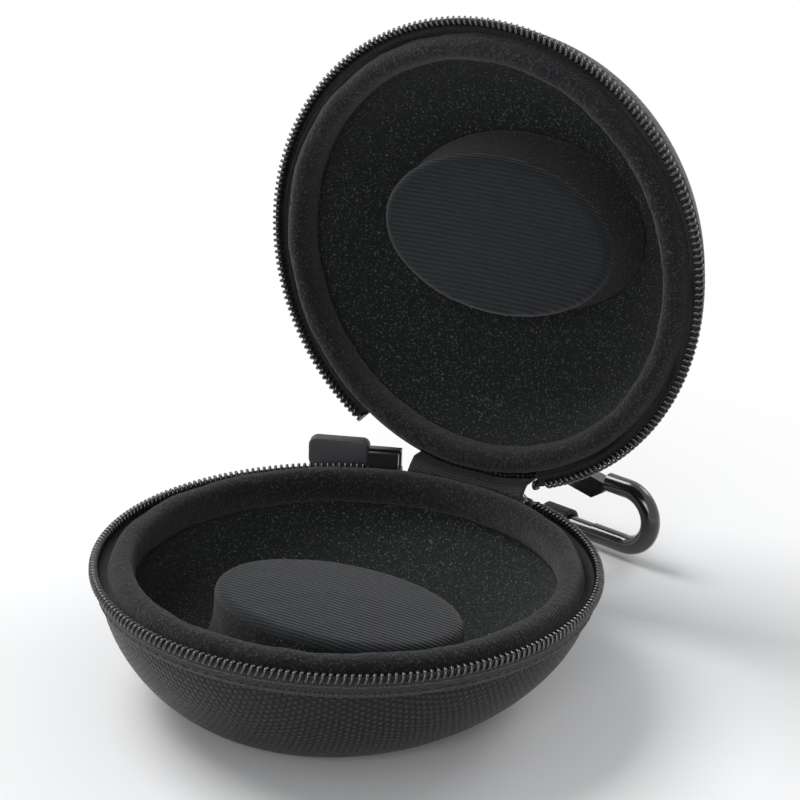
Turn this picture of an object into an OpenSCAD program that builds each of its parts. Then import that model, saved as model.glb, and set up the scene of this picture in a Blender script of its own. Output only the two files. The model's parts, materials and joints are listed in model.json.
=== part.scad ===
// Round zipped travel case for one piece: two moulded halves joined by a
// fabric hinge, a coil zip round the rim, and a carabiner on a webbing loop.
// Millimetres. The origin lies on the resting face, under the zip ring's centre.
// The halves are drawn shut about the zip plane, and the lid is then turned open.

/* [Case] */
// Radius of the zip ring, over the outside of the coils
ring_r = 58.6; // [55:0.2:63]
// Depth of each half, from the zip plane to its flat sole
half_depth = 32; // [26:1:42]
// Radius of the flat sole
sole_r = 20; // [12:1:26]
// How far the sole's centre lies in front of the ring's centre
sole_shift = 13; // [4:1:18]
// Roundness of the walls: 2 is an ellipse, more is boxier
wall_curve = 1.85; // [1.5:0.05:2.6]
// How far the lid stands open at rest, in degrees
lid_open = 89; // [60:1:95]

/* [Layers] */
// Thickness of the woven outer skin
skin_t = 1; // [0.6:0.1:1.6]
// Thickness of the moulded foam core
core_t = 2.3; // [1.5:0.1:3.5]
// Thickness of the velvet lining
lining_t = 1.4; // [0.8:0.1:2]
// Gap between layers that lie on each other
layer_gap = 0.1; // [0.05:0.05:0.3]
// Width of the padded roll round the inside of the rim
roll_w = 6.2; // [5.4:0.2:9]
// Height of the padded roll
roll_h = 8; // [6:0.2:10]

/* [Pads] */
// Length of the oval pads, across the case
pad_l = 62.5; // [50:0.5:66]
// Width of the oval pads, front to back
pad_w = 40; // [34:0.5:44]
// How far the pads' middle lies in front of the ring's centre
pad_shift = 3.8; // [0:0.2:8]
// How far the base pad's top lies under the zip plane
base_pad_drop = 9; // [5:0.5:14]
// How far the lid pad's top lies inside the zip plane
lid_pad_drop = 8.5; // [5:0.5:14]
// How much a pad spreads towards its foot
pad_flare = 2.5; // [0:0.5:4]
// Rounding of a pad's top edge
pad_round = 3; // [1:0.5:4]

/* [Zip] */
// Spacing of the coil's loops along the zip
coil_pitch = 1.5; // [1.2:0.1:3]
// Thickness of the coil's wire
coil_wire = 0.62; // [0.4:0.02:0.8]
// Depth of a coil loop, from its inner to its outer leg
coil_deep = 2.2; // [2:0.1:2.6]
// Height of one row of loops
coil_h = 2.1; // [1.6:0.1:2.6]
// Gap between the two rows before the slider draws them together
row_gap = 1.1; // [0.9:0.1:1.6]
// Thickness of the zip tape
tape_t = 0.6; // [0.4:0.05:0.7]
// Angle between the end of the zip's row and the parked slider
park_gap = 0.5; // [0.5:0.5:6]
// Length of the slider
slider_l = 8; // [6:0.5:8]
// Thickness of the slider's plates
slider_plate = 1.15; // [0.9:0.05:1.3]
// How far the slider reaches above and below the zip plane
slider_half_h = 3.4; // [3.2:0.1:3.7]

/* [Pull tab] */
// Length of the tab's grip
tab_l = 15.5; // [12:0.5:17]
// Height of the tab's grip
tab_h = 9; // [6:0.5:9]
// Thickness of the tab's grip
tab_t = 3.2; // [2:0.1:3.4]

/* [Hinge] */
// How far the hinge line lies inside the zip ring
hinge_inset = 2.4; // [2:0.1:3.4]
// Length of the fabric hinge
hinge_l = 32; // [24:1:33]
// Thickness of the hinge fabric
hinge_t = 0.8; // [0.5:0.1:1]
// Radius of the fold where the hinge fabric bends
fold_r = 1; // [0.7:0.1:1.1]

/* [Carabiner] */
// Distance between the carabiner's end bends, centre to centre
hook_l = 32; // [30:1:36]
// Distance between the spine's and the gate's centre lines
hook_w = 15.6; // [15:0.2:18]
// Radius of the carabiner's rod
rod_r = 2.55; // [2.4:0.05:2.8]
// How much thinner the rod is where the webbing runs on it
rod_step = 0.3; // [0:0.05:0.5]
// Length of the carabiner's gate, from its pin to its tip
gate_l = 23.8; // [21:0.2:25]
// Thickness of the gate
gate_t = 4.1; // [3.2:0.1:4.4]
// Radius of the gate's pin
pin_r = 0.7; // [0.5:0.05:0.9]
// Angle between the carabiner and the hinge line
hook_turn = 12; // [8:1:16]
// Width of the webbing loop
webbing_w = 8; // [6:0.5:10]
// Thickness of one layer of webbing
webbing_t = 1.2; // [0.8:0.1:1.5]

/* [Hidden] */
$fn = 48;

sides = 60;              // points round a moulded half
bands = 8;               // bands from a half's edge down to its sole
run = 0.3;               // running clearance between pieces that move past each other
shell_edge = 4.2;        // distance of the skin's edge from the zip plane
coil_mid_r = ring_r - coil_deep / 2;
shell_r = ring_r - 2.3;  // the skin's radius at its edge
hinge_gap = 0.3;         // the halves' flat backs stop this short of the hinge line
hinge_y = ring_r - hinge_inset;
back_y = hinge_y - hinge_gap;
back_deg = 90;           // the middle of the hinge, as an angle round the ring
round_deg = 450;         // and the same place after a full turn
row_foot = row_gap / 2 + coil_h;
tape_lap = 2;            // how far the tape laps down over the skin

// offsets of the layers in from the case's outer surface
core_o = skin_t + layer_gap;
lining_o = core_o + core_t + layer_gap;
cavity_o = lining_o + lining_t;

// the rolled rim, in the (radius, depth) plane
slider_in_r = ring_r - coil_deep - run - slider_plate;
roll_out_r = slider_in_r - run - 0.3;
roll_mid_r = roll_out_r - roll_w / 2;
roll_top = 0.3;
roll_mid_z = -roll_top - roll_h / 2;
core_top = roll_top + roll_h + run;

// angles where the zip rows end, measured from the middle of the hinge
row_end = acos((back_y - 0.1) / ring_r) + 0.3;
slider_half_deg = slider_l / 2 / ring_r * 180 / PI;
slider_park = row_end + slider_half_deg + park_gap;
tab_room = 7.2;        // the lid's row starts this far past the parked slider, clear of the tab
lid_row_end = slider_park + slider_half_deg + tab_room;

slider_out_r = ring_r + run;
bridge_r = slider_out_r + slider_plate;
eye_r = 0.75;
eye_mid_r = bridge_r + eye_r + run;
bridge_top = eye_mid_r + eye_r + run;
bridge_half_h = 1;
arm_t = 0.8;
eye_half = bridge_half_h + run + arm_t;
neck_l = slider_l / 2 + 0.4;

leaf_fit = 0.15;         // between the hinge's leaves and the skin they are sewn on
leaf_y = back_y + leaf_fit;
leaf_top = fold_r + run;
leaf_foot = 8;

thin_r = rod_r - rod_step;
webbing_r = thin_r + run;
bend_r = hook_w / 2;
hook_reach = 51.4;       // how far the carabiner lies behind the case's back
hook_x = -7.2;           // where its left bend's centre lies
hook_y = back_y + hook_reach;
table_gap = 0.1;         // the webbing's eye stops this short of the table
hook_z = webbing_r + webbing_t + table_gap - half_depth; // the spine's height against the zip plane
eye_place = 9.5;         // distance from the left bend to the middle of the webbing's eye

// the strap that runs from the eye up to its tail under the hinge
strap_z = -11.5;         // height at which it reaches the tail, against the zip plane
tail_y = leaf_y + leaf_fit;
eye_x = hook_x + eye_place * cos(hook_turn);
eye_y = hook_y - eye_place * sin(hook_turn);
strap_run = (eye_y - tail_y) / cos(hook_turn);
strap_rise = atan((strap_z - hook_z) / strap_run);
strap_end = 4;           // how far it is drawn past the tail, before it is cut
tail_x = eye_x - (eye_y - tail_y) * tan(hook_turn) - webbing_w / 2;
tail_foot = strap_z - 1.2 * webbing_t;

stop_deg = 0.8;          // length of an end stop, in degrees
coil_start = 1.1;        // where the loops begin, past the row's end
wedge_deg = 3.2;
bridge_deg = 2.4;
bridge_span = 5.8;
tab_corner = 1.6;

// the gate's pivot in its fork
pin_x = 1.6;
fork_end = 3.2;
tongue_half = 0.8;
tongue_r = 1.6;
pin_fit = 0.05;
pin_l = 2 * sqrt(rod_r * rod_r - pin_r * pin_r) - 0.2;
gate_from = 2.9;         // the gate's thick part starts this far past its pin
gate_belly = 2.25;       // how far the gate's underside lies below its pin there
gate_crown = 2.05;       // how far its top lies above the pin there
gate_foot = 5.1;         // how far the tip's lower corner hangs below the pin
gate_slope = 3.75;       // length of the slope from that corner to the tip
gate_shelf = 0.75;       // height of the gate's top over its pin where the tip begins
gate_lip = 0.1;          // and at the tip itself
tongue_lap = 0.5;        // how far the tongue runs into the gate's thick part
nose_x = pin_x + gate_l + run;
spring_from = pin_x + 3.9;
spring_l = 6;
spring_r = 1;
spring_z = hook_w - 0.5;
step_x = 21.9;           // where the thin stretch of the spine ends

// ---- the moulded halves -------------------------------------------------

// How far a point of the wall has come from the edge to the sole: 0 to 1
function drop_of(turn) = pow(sin(turn), 2 / wall_curve);
function reach_of(turn) = pow(cos(turn), 2 / wall_curve);

// One ring of a surface that lies o inside the case's outer surface
function ring(o, turn) =
    let (k = reach_of(turn))
    let (r = sole_r - 0.4 * o + (shell_r - sole_r - 0.6 * o) * k)
    let (cy = -sole_shift * (1 - k))
    let (z = -shell_edge - (half_depth - o - shell_edge) * drop_of(turn))
    [for (i = [0:sides - 1]) [r * cos(i * 360 / sides), min(cy + r * sin(i * 360 / sides), back_y - o), z]];

// All layers of a half share these turns, so that their facets lie side by side
function ring_turn(j) = 90 * j / bands;
function depth_at(o, j) = shell_edge + (half_depth - o - shell_edge) * drop_of(ring_turn(j));

// Where a depth lies among the rings: the ring above it, and how far on to the next
function place_of(o, depth, j = 0) =
    j >= bands - 1 || depth_at(o, j + 1) > depth
        ? j + (depth - depth_at(o, j)) / (depth_at(o, j + 1) - depth_at(o, j))
        : place_of(o, depth, j + 1);

function ring_between(o, place) =
    let (j = floor(place))
    let (f = place - j)
    let (a = ring(o, ring_turn(j)))
    let (b = ring(o, ring_turn(min(j + 1, bands))))
    [for (i = [0:sides - 1]) a[i] * (1 - f) + b[i] * f];

// Height of the cavity's floor under a point, from the same rings
function floor_z(x, y, o) =
    let (s = sole_r - 0.4 * o)
    let (d = shell_r - sole_r - 0.6 * o)
    let (fy = y + sole_shift)
    let (a = sole_shift * sole_shift - d * d)
    let (b = -2 * (fy * sole_shift + s * d))
    let (c = x * x + fy * fy - s * s)
    let (k = c <= 0 ? 0 : (-b - sqrt(b * b - 4 * a * c)) / (2 * a))
    -shell_edge - (half_depth - o - shell_edge) * drop_of(acos(pow(k, wall_curve / 2)));

// A closed solid through rings of equal length, with flat ends
module skin(rings) {
    n = len(rings[0]);
    m = len(rings);
    points = [for (r = rings, p = r) p];
    walls = [for (j = [0:m - 2], i = [0:n - 1])
        let (a = j * n + i, b = j * n + (i + 1) % n)
        each [[a, b, b + n], [a, b + n, a + n]]];
    first = [for (i = [n - 1:-1:0]) i];
    last = [for (i = [0:n - 1]) (m - 1) * n + i];
    polyhedron(points = points, faces = concat(walls, [first], [last]), convexity = 6);
}

// A bowl between two offsets, open at the given depth
module bowl(outer, inner, top) {
    in_place = place_of(inner, top);
    out_place = place_of(outer, top);
    up = [for (j = [bands:-1:floor(in_place) + 1]) ring(inner, ring_turn(j))];
    down = [for (j = [floor(out_place) + 1:bands]) ring(outer, ring_turn(j))];
    skin(concat(up, [ring_between(inner, in_place), ring_between(outer, out_place)], down));
}

// Places for what belongs to the base and to the lid. Both are drawn as a base
// half, below the zip plane; the lid is the mirror image, turned open.
module in_base() {
    translate([0, 0, half_depth]) children();
}

module in_lid() {
    in_base() translate([0, hinge_y, 0]) rotate([-lid_open, 0, 0]) translate([0, -hinge_y, 0])
        mirror([0, 0, 1]) children();
}

module half_shell() {
    bowl(0, skin_t, shell_edge);
}

module half_core() {
    bowl(core_o, core_o + core_t, core_top);
}

module half_lining() {
    bowl(lining_o, cavity_o, core_top);
}

// The padded roll: an oval section swept round the rim, cut flat at the hinge
module half_roll() {
    intersection() {
        rotate_extrude($fn = 96)
            polygon([for (a = [0:24:336]) [roll_mid_r + roll_w / 2 * cos(a), roll_mid_z + roll_h / 2 * sin(a)]]);
        translate([-ring_r, -ring_r, -2 * roll_h])
            cube([2 * ring_r, ring_r + back_y - fold_r - run, 2 * roll_h]);
    }
}

// An oval pad that rises from the cavity's floor to the given depth
module half_pad(top) {
    function oval(grow) =
        [for (i = [0:sides - 1]) let (a = i * 360 / sides)
            [(pad_l / 2 + grow) * cos(a), (pad_w / 2 + grow) * sin(a) - pad_shift]];
    edge = [for (t = [0:30:90])
        [for (p = oval(-pad_round * (1 - sin(t)))) [p.x, p.y, -top - pad_round * (1 - cos(t))]]];
    foot = [for (p = oval(pad_flare)) [p.x, p.y, floor_z(p.x, p.y, cavity_o) + run]];
    sole = [for (p = oval(0)) [p.x / 4, (p.y + pad_shift) / 4 - sole_shift / 2, cavity_o - half_depth + run]];
    skin(concat(edge, [foot, sole]));
}

// ---- the zip -------------------------------------------------------------

// A profile in the (radius, height) plane, swept between two angles
module arc(from, to) {
    rotate([0, 0, from]) rotate_extrude(angle = to - from, $fn = 180) children();
}

// The hairpin that the coil's wire makes over the edge of the tape
module loop_profile() {
    difference() {
        union() {
            translate([coil_mid_r, -row_gap / 2 - coil_deep / 2]) circle(coil_deep / 2, $fn = 32);
            translate([coil_mid_r - coil_deep / 2, -row_foot])
                square([coil_deep, coil_h - coil_deep / 2]);
        }
        translate([coil_mid_r - coil_deep / 2 + coil_wire, -row_foot - 1])
            square([coil_deep - 2 * coil_wire, coil_h - coil_wire + 1]);
    }
}

// Angles of a row's loops from its first to its last degree
function loop_angles(from, to, shift) =
    let (step = coil_pitch / coil_mid_r * 180 / PI)
    let (n = floor((to - from) / step))
    [for (i = [0:n - 2]) to - (i + 0.5 + shift) * step];

module coil_row(from, to, shift) {
    for (a = loop_angles(from, to, shift))
        rotate([0, 0, a]) rotate([90, 0, 0]) linear_extrude(coil_wire, center = true) loop_profile();
}

// The woven tape: its edge lies inside the loops, its foot laps over the skin
module tape(from, to) {
    mid_in = coil_mid_r - tape_t / 2;
    mid_out = coil_mid_r + tape_t / 2;
    lap_in = shell_r + layer_gap + 0.05;
    edge_z = -row_gap / 2 - coil_wire - 0.15;
    arc(from, to) polygon([
        [mid_in, edge_z],
        [mid_out, edge_z],
        [mid_out, -row_foot - 0.5],
        [lap_in + tape_t, -shell_edge - 0.6],
        [lap_in + tape_t, -shell_edge - tape_lap],
        [lap_in, -shell_edge - tape_lap],
        [lap_in, -shell_edge - 0.4],
        [mid_in, -row_foot - 0.3]]);
}

module end_stop(from) {
    arc(from, from + stop_deg) loop_profile();
}

// The slider: an outer plate with lips under the rows' feet, an inner plate,
// and the wedge between the rows that joins them
module slider() {
    mid = back_deg + slider_park;
    lip_in = coil_mid_r + tape_t / 2 + run;
    lip_h = slider_half_h - row_foot - run;
    wedge_half = row_gap / 2 - run;
    arc(mid - slider_half_deg, mid + slider_half_deg) {
        translate([slider_out_r, -slider_half_h]) square([slider_plate, 2 * slider_half_h]);
        translate([lip_in, -slider_half_h]) square([slider_out_r - lip_in + 0.1, lip_h]);
        translate([lip_in, slider_half_h - lip_h]) square([slider_out_r - lip_in + 0.1, lip_h]);
        translate([slider_in_r, -slider_half_h]) square([slider_plate, 2 * slider_half_h]);
    }
    arc(mid + slider_half_deg - wedge_deg, mid + slider_half_deg)
        translate([slider_in_r + slider_plate / 2, -wedge_half])
            square([slider_out_r - slider_in_r, 2 * wedge_half]);
}

// The bridge on the slider's back that holds the tab's eye
module bridge() {
    mid = back_deg + slider_park;
    for (side = [-1, 1])
        rotate([0, 0, mid + side * bridge_deg]) translate([bridge_r + 0.05, -0.4, -bridge_half_h])
            cube([bridge_top - bridge_r, 0.8, 2 * bridge_half_h]);
    rotate([0, 0, mid]) translate([bridge_top, -bridge_span / 2, -bridge_half_h])
        cube([0.8, bridge_span, 2 * bridge_half_h]);
}

module round_plate(x, w, h, r) {
    for (px = [x + r, x + w - r], py = [r - h / 2, h / 2 - r]) translate([px, py]) circle(r, $fn = 32);
    translate([x, r - h / 2]) square([w, h - 2 * r]);
    translate([x + r, -h / 2]) square([w - 2 * r, h]);
}

// The tab: a cross bar in the bridge, two arms beside it, and the grip
module tab() {
    rotate([0, 0, back_deg + slider_park]) translate([eye_mid_r, 0, 0]) {
        translate([0, 0, -eye_half]) cylinder(h = 2 * eye_half, r = eye_r, $fn = 32);
        for (side = [-1, 1])
            translate([-eye_r, 0, side * (eye_half - arm_t / 2) - arm_t / 2])
                cube([2 * eye_r, neck_l + 1, arm_t]);
        rotate([90, 0, 90]) translate([0, 0, -tab_t / 2])
            linear_extrude(tab_t) round_plate(neck_l, tab_l, tab_h, tab_corner);
    }
}

// ---- the fabric hinge ------------------------------------------------------

// A disc cut off straight at the back
module cut_disc(r, back, from, to) {
    intersection() {
        translate([0, 0, from]) cylinder(h = to - from, r = r, $fn = 180);
        translate([-r, -r, from]) cube([2 * r, r + back, to - from]);
    }
}

module leaf() {
    intersection() {
        difference() {
            cut_disc(shell_r + leaf_fit + hinge_t, leaf_y + hinge_t, -leaf_foot, -leaf_top);
            cut_disc(shell_r + leaf_fit, leaf_y, -leaf_foot - 1, 0);
        }
        translate([-hinge_l / 2, 0, -leaf_foot]) cube([hinge_l, 2 * ring_r, leaf_foot]);
    }
}

// ---- the carabiner and its loop ---------------------------------------------

module at_hook() {
    translate([hook_x, hook_y, half_depth + hook_z]) rotate([0, 0, -hook_turn]) children();
}

module rod(from, to, height, r) {
    translate([from, 0, height]) rotate([0, 90, 0]) cylinder(h = to - from, r = r, $fn = 40);
}

// Half a ring, in the carabiner's plane; side is -1 for the left end
module bend(x, side, r) {
    translate([x, 0, bend_r]) rotate([90, 0, 0]) rotate([0, 0, side < 0 ? 90 : -90])
        rotate_extrude(angle = 180, $fn = 64) translate([bend_r, 0]) circle(r, $fn = 40);
}

module hook_body() {
    at_hook() difference() {
        union() {
            rod(0, step_x, 0, thin_r);
            rod(step_x, hook_l, 0, rod_r);
            bend(0, -1, thin_r);
            bend(hook_l, 1, rod_r);
            rod(0, fork_end, hook_w, rod_r);
            rod(nose_x, hook_l, hook_w, rod_r);
        }
        translate([pin_x - tongue_r - run, -tongue_half - run, hook_w - rod_r - 1])
            cube([fork_end + tongue_r, 2 * (tongue_half + run), 2 * rod_r + 2]);
        translate([pin_x, rod_r + 1, hook_w]) rotate([90, 0, 0])
            cylinder(h = 2 * rod_r + 2, r = pin_r + pin_fit, $fn = 32);
    }
}

// A slab in the carabiner's plane, with its outline given from the gate's pin
module slab(thickness) {
    translate([pin_x, thickness / 2, hook_w]) rotate([90, 0, 0]) linear_extrude(thickness) children();
}

module gate() {
    at_hook() difference() {
        union() {
            slab(gate_t) polygon([
                [gate_from, -gate_belly],
                [gate_l - gate_slope, -gate_foot],
                [gate_l, -rod_r],
                [gate_l, gate_lip],
                [gate_l - gate_slope, gate_shelf],
                [gate_from, gate_crown]]);
            slab(2 * tongue_half) {
                circle(tongue_r, $fn = 32);
                translate([0, -tongue_r]) square([gate_from + tongue_lap, 2 * tongue_r]);
            }
        }
        translate([0, 0.5, 0]) slab(2 * tongue_half + 1) circle(pin_r + pin_fit, $fn = 32);
        rod(spring_from - 0.1, spring_from + spring_l + 0.1, spring_z, spring_r + 0.1);
    }
}

module webbing() {
    intersection() {
        at_hook() translate([eye_place, 0, 0]) rotate([90, 0, 90]) translate([0, 0, -webbing_w / 2])
            linear_extrude(webbing_w) difference() {
                union() {
                    circle(webbing_r + webbing_t, $fn = 48);
                    rotate(-strap_rise) translate([-strap_run / cos(strap_rise) - strap_end, -webbing_t])
                        square([strap_run / cos(strap_rise) + strap_end, 2 * webbing_t]);
                }
                circle(webbing_r, $fn = 48);
            }
        translate([-ring_r, tail_y, 0]) cube([2 * ring_r, 2 * ring_r, half_depth]);
    }
    // the tail that is sewn flat to the base, under the hinge
    translate([tail_x, tail_y, half_depth + tail_foot])
        cube([webbing_w, webbing_t, -leaf_foot - run - tail_foot]);
}

// ---- the nodes ---------------------------------------------------------------

module base_shell() {
    color("#1c1d20") in_base() half_shell();
}

module base_core() {
    color("#303236") in_base() half_core();
}

module base_lining() {
    color("#131416") in_base() half_lining();
}

module base_rim_roll() {
    color("#101113") in_base() half_roll();
}

module base_pad() {
    color("#17181a") in_base() half_pad(base_pad_drop);
}

module base_zip_tape() {
    color("#18191b") in_base() tape(back_deg + row_end, round_deg - row_end);
}

module base_zip_coil() {
    color("#26282a") in_base() coil_row(back_deg + row_end + coil_start, round_deg - row_end - coil_start, 0);
}

module base_end_stops() {
    color("#3a3c3e") in_base() {
        end_stop(back_deg + row_end);
        end_stop(round_deg - row_end - stop_deg);
    }
}

module hinge_leaf_base() {
    color("#1a1b1d") in_base() leaf();
}

module hinge_fold() {
    color("#1a1b1d") in_base() translate([-hinge_l / 2, hinge_y, 0]) rotate([0, 90, 0])
        cylinder(h = hinge_l, r = fold_r, $fn = 32);
}

module lid_shell() {
    color("#1c1d20") in_lid() half_shell();
}

module lid_core() {
    color("#303236") in_lid() half_core();
}

module lid_lining() {
    color("#131416") in_lid() half_lining();
}

module lid_rim_roll() {
    color("#101113") in_lid() half_roll();
}

module lid_pad() {
    color("#17181a") in_lid() half_pad(lid_pad_drop);
}

module lid_zip_tape() {
    color("#18191b") in_lid() tape(back_deg + lid_row_end, round_deg - row_end);
}

module lid_zip_coil() {
    color("#26282a") in_lid() coil_row(back_deg + lid_row_end + coil_start, round_deg - row_end - coil_start, 0.5);
}

module lid_end_stops() {
    color("#3a3c3e") in_lid() {
        end_stop(back_deg + lid_row_end);
        end_stop(round_deg - row_end - stop_deg);
    }
}

module hinge_leaf_lid() {
    color("#1a1b1d") in_lid() leaf();
}

module zip_slider() {
    color("#2b2d30") in_base() slider();
}

module slider_bridge() {
    color("#4a4d50") in_base() bridge();
}

module pull_tab() {
    color("#1d1e20") in_base() tab();
}

module hang_loop() {
    color("#151618") webbing();
}

module carabiner_body() {
    color("#0d0e10") hook_body();
}

module carabiner_gate() {
    color("#121315") gate();
}

module gate_pin() {
    color("#8a8d90") at_hook() translate([pin_x, pin_l / 2, hook_w]) rotate([90, 0, 0])
        cylinder(h = pin_l, r = pin_r, $fn = 32);
}

module gate_spring() {
    color("#9a9da0") at_hook() difference() {
        rod(spring_from, spring_from + spring_l, spring_z, spring_r);
        rod(spring_from - 1, spring_from + spring_l + 1, spring_z, spring_r - 0.4);
    }
}

base_shell();
base_core();
base_lining();
base_rim_roll();
base_pad();
base_zip_tape();
base_zip_coil();
base_end_stops();
hinge_leaf_base();
hinge_fold();
lid_shell();
lid_core();
lid_lining();
lid_rim_roll();
lid_pad();
lid_zip_tape();
lid_zip_coil();
lid_end_stops();
hinge_leaf_lid();
zip_slider();
slider_bridge();
pull_tab();
hang_loop();
carabiner_body();
carabiner_gate();
gate_pin();
gate_spring();
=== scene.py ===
"""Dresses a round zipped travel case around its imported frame: cloth, padding, zip, hinge and clip."""
import json
import math

import bpy
import numpy as np
from mathutils import Matrix, Vector


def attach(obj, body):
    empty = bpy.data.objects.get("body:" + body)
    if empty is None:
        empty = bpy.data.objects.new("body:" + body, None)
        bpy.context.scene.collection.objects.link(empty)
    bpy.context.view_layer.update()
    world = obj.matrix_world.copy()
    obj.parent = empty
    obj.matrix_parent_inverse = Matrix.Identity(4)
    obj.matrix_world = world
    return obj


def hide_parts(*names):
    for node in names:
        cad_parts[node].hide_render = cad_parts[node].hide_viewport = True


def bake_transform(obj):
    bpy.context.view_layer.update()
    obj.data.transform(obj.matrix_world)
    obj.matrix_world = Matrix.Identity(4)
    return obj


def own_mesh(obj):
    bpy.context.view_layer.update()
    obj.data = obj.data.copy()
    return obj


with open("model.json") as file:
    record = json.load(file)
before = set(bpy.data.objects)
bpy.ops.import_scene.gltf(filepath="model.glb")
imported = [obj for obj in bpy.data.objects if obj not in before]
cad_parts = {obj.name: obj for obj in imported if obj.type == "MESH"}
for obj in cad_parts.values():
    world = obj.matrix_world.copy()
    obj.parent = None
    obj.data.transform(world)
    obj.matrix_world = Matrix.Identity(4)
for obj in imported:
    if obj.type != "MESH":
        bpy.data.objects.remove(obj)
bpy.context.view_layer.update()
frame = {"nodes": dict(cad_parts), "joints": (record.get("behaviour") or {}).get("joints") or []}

bl_info = {
    "name": "Zipped travel case",
    "version": (1, 0, 0),
    "blender": (4, 5, 0),
    "location": "View3D > Sidebar > Case",
    "description": "Builds the cloth, padding, zip, hinge and clip of a round travel case",
    "category": "Add Mesh",
}

MM = 0.001

JOINTS = {joint["name"]: joint for joint in frame["joints"]}
HINGE = Vector(JOINTS["lid_hinge"]["pos_m"])
LID_OPEN = math.radians(JOINTS["lid_hinge"]["range_deg"][1])
TAB_EYE = Vector(JOINTS["tab_swing"]["pos_m"])
SLIDER_ANGLE = math.atan2(TAB_EYE.y, TAB_EYE.x)
SPINE_START = Vector(JOINTS["carabiner_swing"]["pos_m"])
SPINE_WAY = -Vector(JOINTS["carabiner_swing"]["axis"])
HALVES = ("base", "lid")


# ---- the sizes and colours a user may change ---------------------------------

def length(name, description, millimetres):
    """A length in metres, written in millimetres."""
    return bpy.props.FloatProperty(
        name=name, description=description, default=millimetres * MM, unit="LENGTH", precision=5)


def share(name, description, value):
    """A plain number from 0 to 1."""
    return bpy.props.FloatProperty(
        name=name, description=description, default=value, min=0, max=1, subtype="FACTOR")


def colour(name, description, value):
    """A linear colour."""
    return bpy.props.FloatVectorProperty(
        name=name, description=description, default=value, min=0, max=1, subtype="COLOR")


def angle(name, description, degrees):
    """An angle in radians, written in degrees."""
    return bpy.props.FloatProperty(
        name=name, description=description, default=math.radians(degrees), subtype="ANGLE")


def rows_of(kind, **rows):
    """Properties of one kind for a group: each row has a description and a value."""
    return {name: kind(name.replace("_", " ").capitalize(), *row) for name, row in rows.items()}


class CaseSizes(bpy.types.PropertyGroup):
    """Sizes of the moulded halves and their padding."""

    __annotations__ = rows_of(
        length,
        ring_radius=("Radius of the zip ring over its coils", 58.6),
        skin_radius=("Radius of the cloth at its edge", 56.3),
        sole_radius=("Radius of the flat sole", 20),
        sole_shift=("How far the sole lies in front of the ring's centre", 13),
        half_depth=("Depth of a half from the zip plane", HINGE.z / MM),
        skin_edge=("Distance of the cloth's edge from the zip plane", 4.2),
        skin_thickness=("Thickness of the woven cloth", 1),
        lining_offset=("How far the lining's back lies inside the cloth", 3.5),
        lining_thickness=("Thickness of the lining", 1.4),
        roll_radius=("Radius of the rim roll's middle", 51.25),
        roll_width=("Width of the rim roll", 6.2),
        roll_height=("Height of the rim roll in the shut case", 8),
        roll_top=("How far the squeezed roll stays under the zip plane", 0.3),
        pad_length=("Length of an oval pad", 62.5),
        pad_width=("Width of an oval pad", 40),
        pad_shift=("How far a pad lies in front of the ring's centre", 3.8),
        base_pad_drop=("How far the base pad's top lies under the zip plane", 9),
        lid_pad_drop=("How far the lid pad's top lies inside the zip plane", 8.5),
    ) | rows_of(
        share,
        roll_keep=("Share of its height that the roll keeps in the shut case", 0.88),
    )


class ZipSizes(bpy.types.PropertyGroup):
    """Sizes of the zip, its slider's tab and the hinge cloth."""

    __annotations__ = rows_of(
        length,
        pitch=("Spacing of the coil's loops", 1.5),
        wire=("Radius of the coil's wire", 0.31),
        depth=("Depth of the coil from its inner to its outer legs", 2.2),
        row_gap=("Gap between the two rows", 1.1),
        row_height=("Height of a row of loops", 2.1),
        tape=("Thickness of the zip tape", 0.6),
        tab_length=("Length of the pull tab's grip", 15.5),
        tab_height=("Height of the pull tab's grip", 9),
        tab_thickness=("Thickness of the pull tab's grip", 3.2),
        tab_neck=("Distance from the eye to the grip", 4.4),
        hinge_length=("Length of the fabric hinge", 32),
        hinge_thickness=("Thickness of the hinge cloth", 0.8),
    ) | rows_of(
        angle,
        row_end=("Angle between the hinge's middle and the end of a row", 18.08),
        lid_row_end=("The same at the parked slider's end of the lid", 33.61),
    )


class ClipSizes(bpy.types.PropertyGroup):
    """Sizes of the webbing loop and of the rod that it runs round."""

    __annotations__ = rows_of(
        length,
        thin_rod=("Radius of the rod where the webbing runs", 2.25),
        webbing_width=("Width of the webbing", 8),
        webbing_thickness=("Thickness of one layer of webbing", 1.2),
        webbing_place=("Distance from the left bend to the webbing's middle", 9.5),
        strap_height=("Height at which the strap reaches its tail on the case", 20.5),
        tail_foot=("Height of the sewn tail's lower end", 19.1),
        tail_top=("Height of the sewn tail's upper end", 23.7),
    )


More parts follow.
